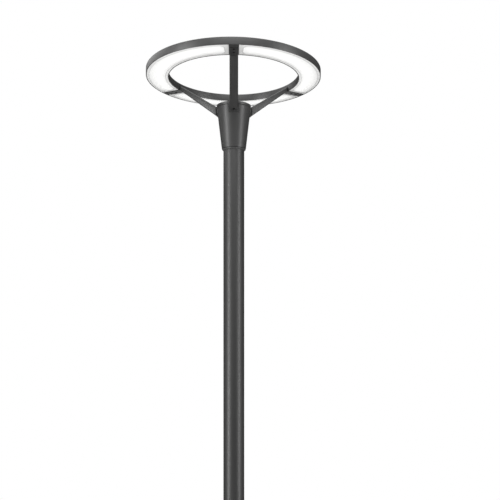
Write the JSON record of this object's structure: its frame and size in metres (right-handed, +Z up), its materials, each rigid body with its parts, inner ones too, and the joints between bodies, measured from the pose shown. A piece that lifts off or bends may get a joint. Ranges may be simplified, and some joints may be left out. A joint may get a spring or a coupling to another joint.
{
  "type": "street lamp post",
  "caption": "Post-top street lamp: a slim downlight ring on raking arms over a tapered collar, on a straight round pole with an inspection door and a bolted base plate.",
  "frame": {"origin": "centre of the base plate's underside, on the pole's axis", "axes": "+Z up along the pole; the front arm and the inspection door face -Y"},
  "size_m": [0.6272, 0.6272, 3.183],
  "materials": {
    "coated_aluminium": "satin anthracite powder coat on cast aluminium",
    "coated_steel": "satin anthracite powder coat on steel tube",
    "coated_iron": "satin anthracite powder coat on cast iron",
    "galvanised_steel": "galvanised",
    "stainless_steel": "blackened and plain stainless screws",
    "opal_plastic": "opal acrylic, lit from behind",
    "rubber": "matt black seal rubber",
    "led_board": "white solder mask with chips",
    "black_plastic": "moulded",
    "grey_plastic": "moulded",
    "red_plastic": "moulded",
    "cable_sheath": "extruded cable sheath"
  },
  "bodies": {
    "post": {"base_flange": "coated_iron", "pole_tube": "coated_steel", "door_bridge": "galvanised_steel", "mounting_rail": "galvanised_steel", "earth_bolt": "stainless_steel", "fuse_block": "grey_plastic", "pole_cable": "cable_sheath"},
    "door": {"door_panel": "coated_steel", "door_seal": "rubber"},
    "door_key": {"door_screw": "stainless_steel"},
    "fuse_lever": {"fuse_lever": "red_plastic"},
    "head": {"spigot_collar": "coated_aluminium", "spigot_seal": "rubber", "grub_screw_rear": "stainless_steel", "grub_screw_left": "stainless_steel", "grub_screw_right": "stainless_steel", "collar_cap": "coated_aluminium", "cap_seal": "rubber", "cap_screw_rear": "stainless_steel", "cap_screw_left": "stainless_steel", "cap_screw_right": "stainless_steel", "led_driver": "black_plastic", "driver_screw_right": "stainless_steel", "driver_screw_left": "stainless_steel", "cable_gland": "black_plastic", "arm_front": "coated_aluminium", "arm_right": "coated_aluminium", "arm_left": "coated_aluminium", "foot_screw_front": "stainless_steel", "foot_screw_right": "stainless_steel", "foot_screw_left": "stainless_steel", "tongue_screw_inner_front": "stainless_steel", "tongue_screw_inner_right": "stainless_steel", "tongue_screw_inner_left": "stainless_steel", "tongue_screw_outer_front": "stainless_steel", "tongue_screw_outer_right": "stainless_steel", "tongue_screw_outer_left": "stainless_steel", "arm_lead_front": "cable_sheath", "arm_lead_right": "cable_sheath", "arm_lead_left": "cable_sheath", "lead_plug_front": "black_plastic", "lead_plug_right": "black_plastic", "lead_plug_left": "black_plastic", "ring_housing": "coated_aluminium", "ring_bridge_front": "coated_aluminium", "ring_bridge_right": "coated_aluminium", "ring_bridge_left": "coated_aluminium", "diffuser_right": "opal_plastic", "diffuser_rear": "opal_plastic", "diffuser_left": "opal_plastic", "diffuser_seal_right": "rubber", "diffuser_seal_rear": "rubber", "diffuser_seal_left": "rubber", "led_board_right": "led_board", "led_board_rear": "led_board", "led_board_left": "led_board"}
  },
  "joints": [
    {"name": "head_swivel", "type": "hinge", "parent": "post", "child": "head", "pos_m": [0, 0, 2.908], "axis": [0, 0, 1], "range_deg": [-180, 180]},
    {"name": "door_lift", "type": "slide", "parent": "post", "child": "door", "axis": [0, -1, 0], "range_m": [0, 0.12]},
    {"name": "door_key_turn", "type": "hinge", "parent": "door", "child": "door_key", "pos_m": [0, -0.04, 0.6], "axis": [0, -1, 0], "continuous": true},
    {"name": "fuse_lever_tilt", "type": "hinge", "parent": "post", "child": "fuse_lever", "pos_m": [0, -0.00082, 0.55], "axis": [1, 0, 0], "range_deg": [0, 40]}
  ]
}
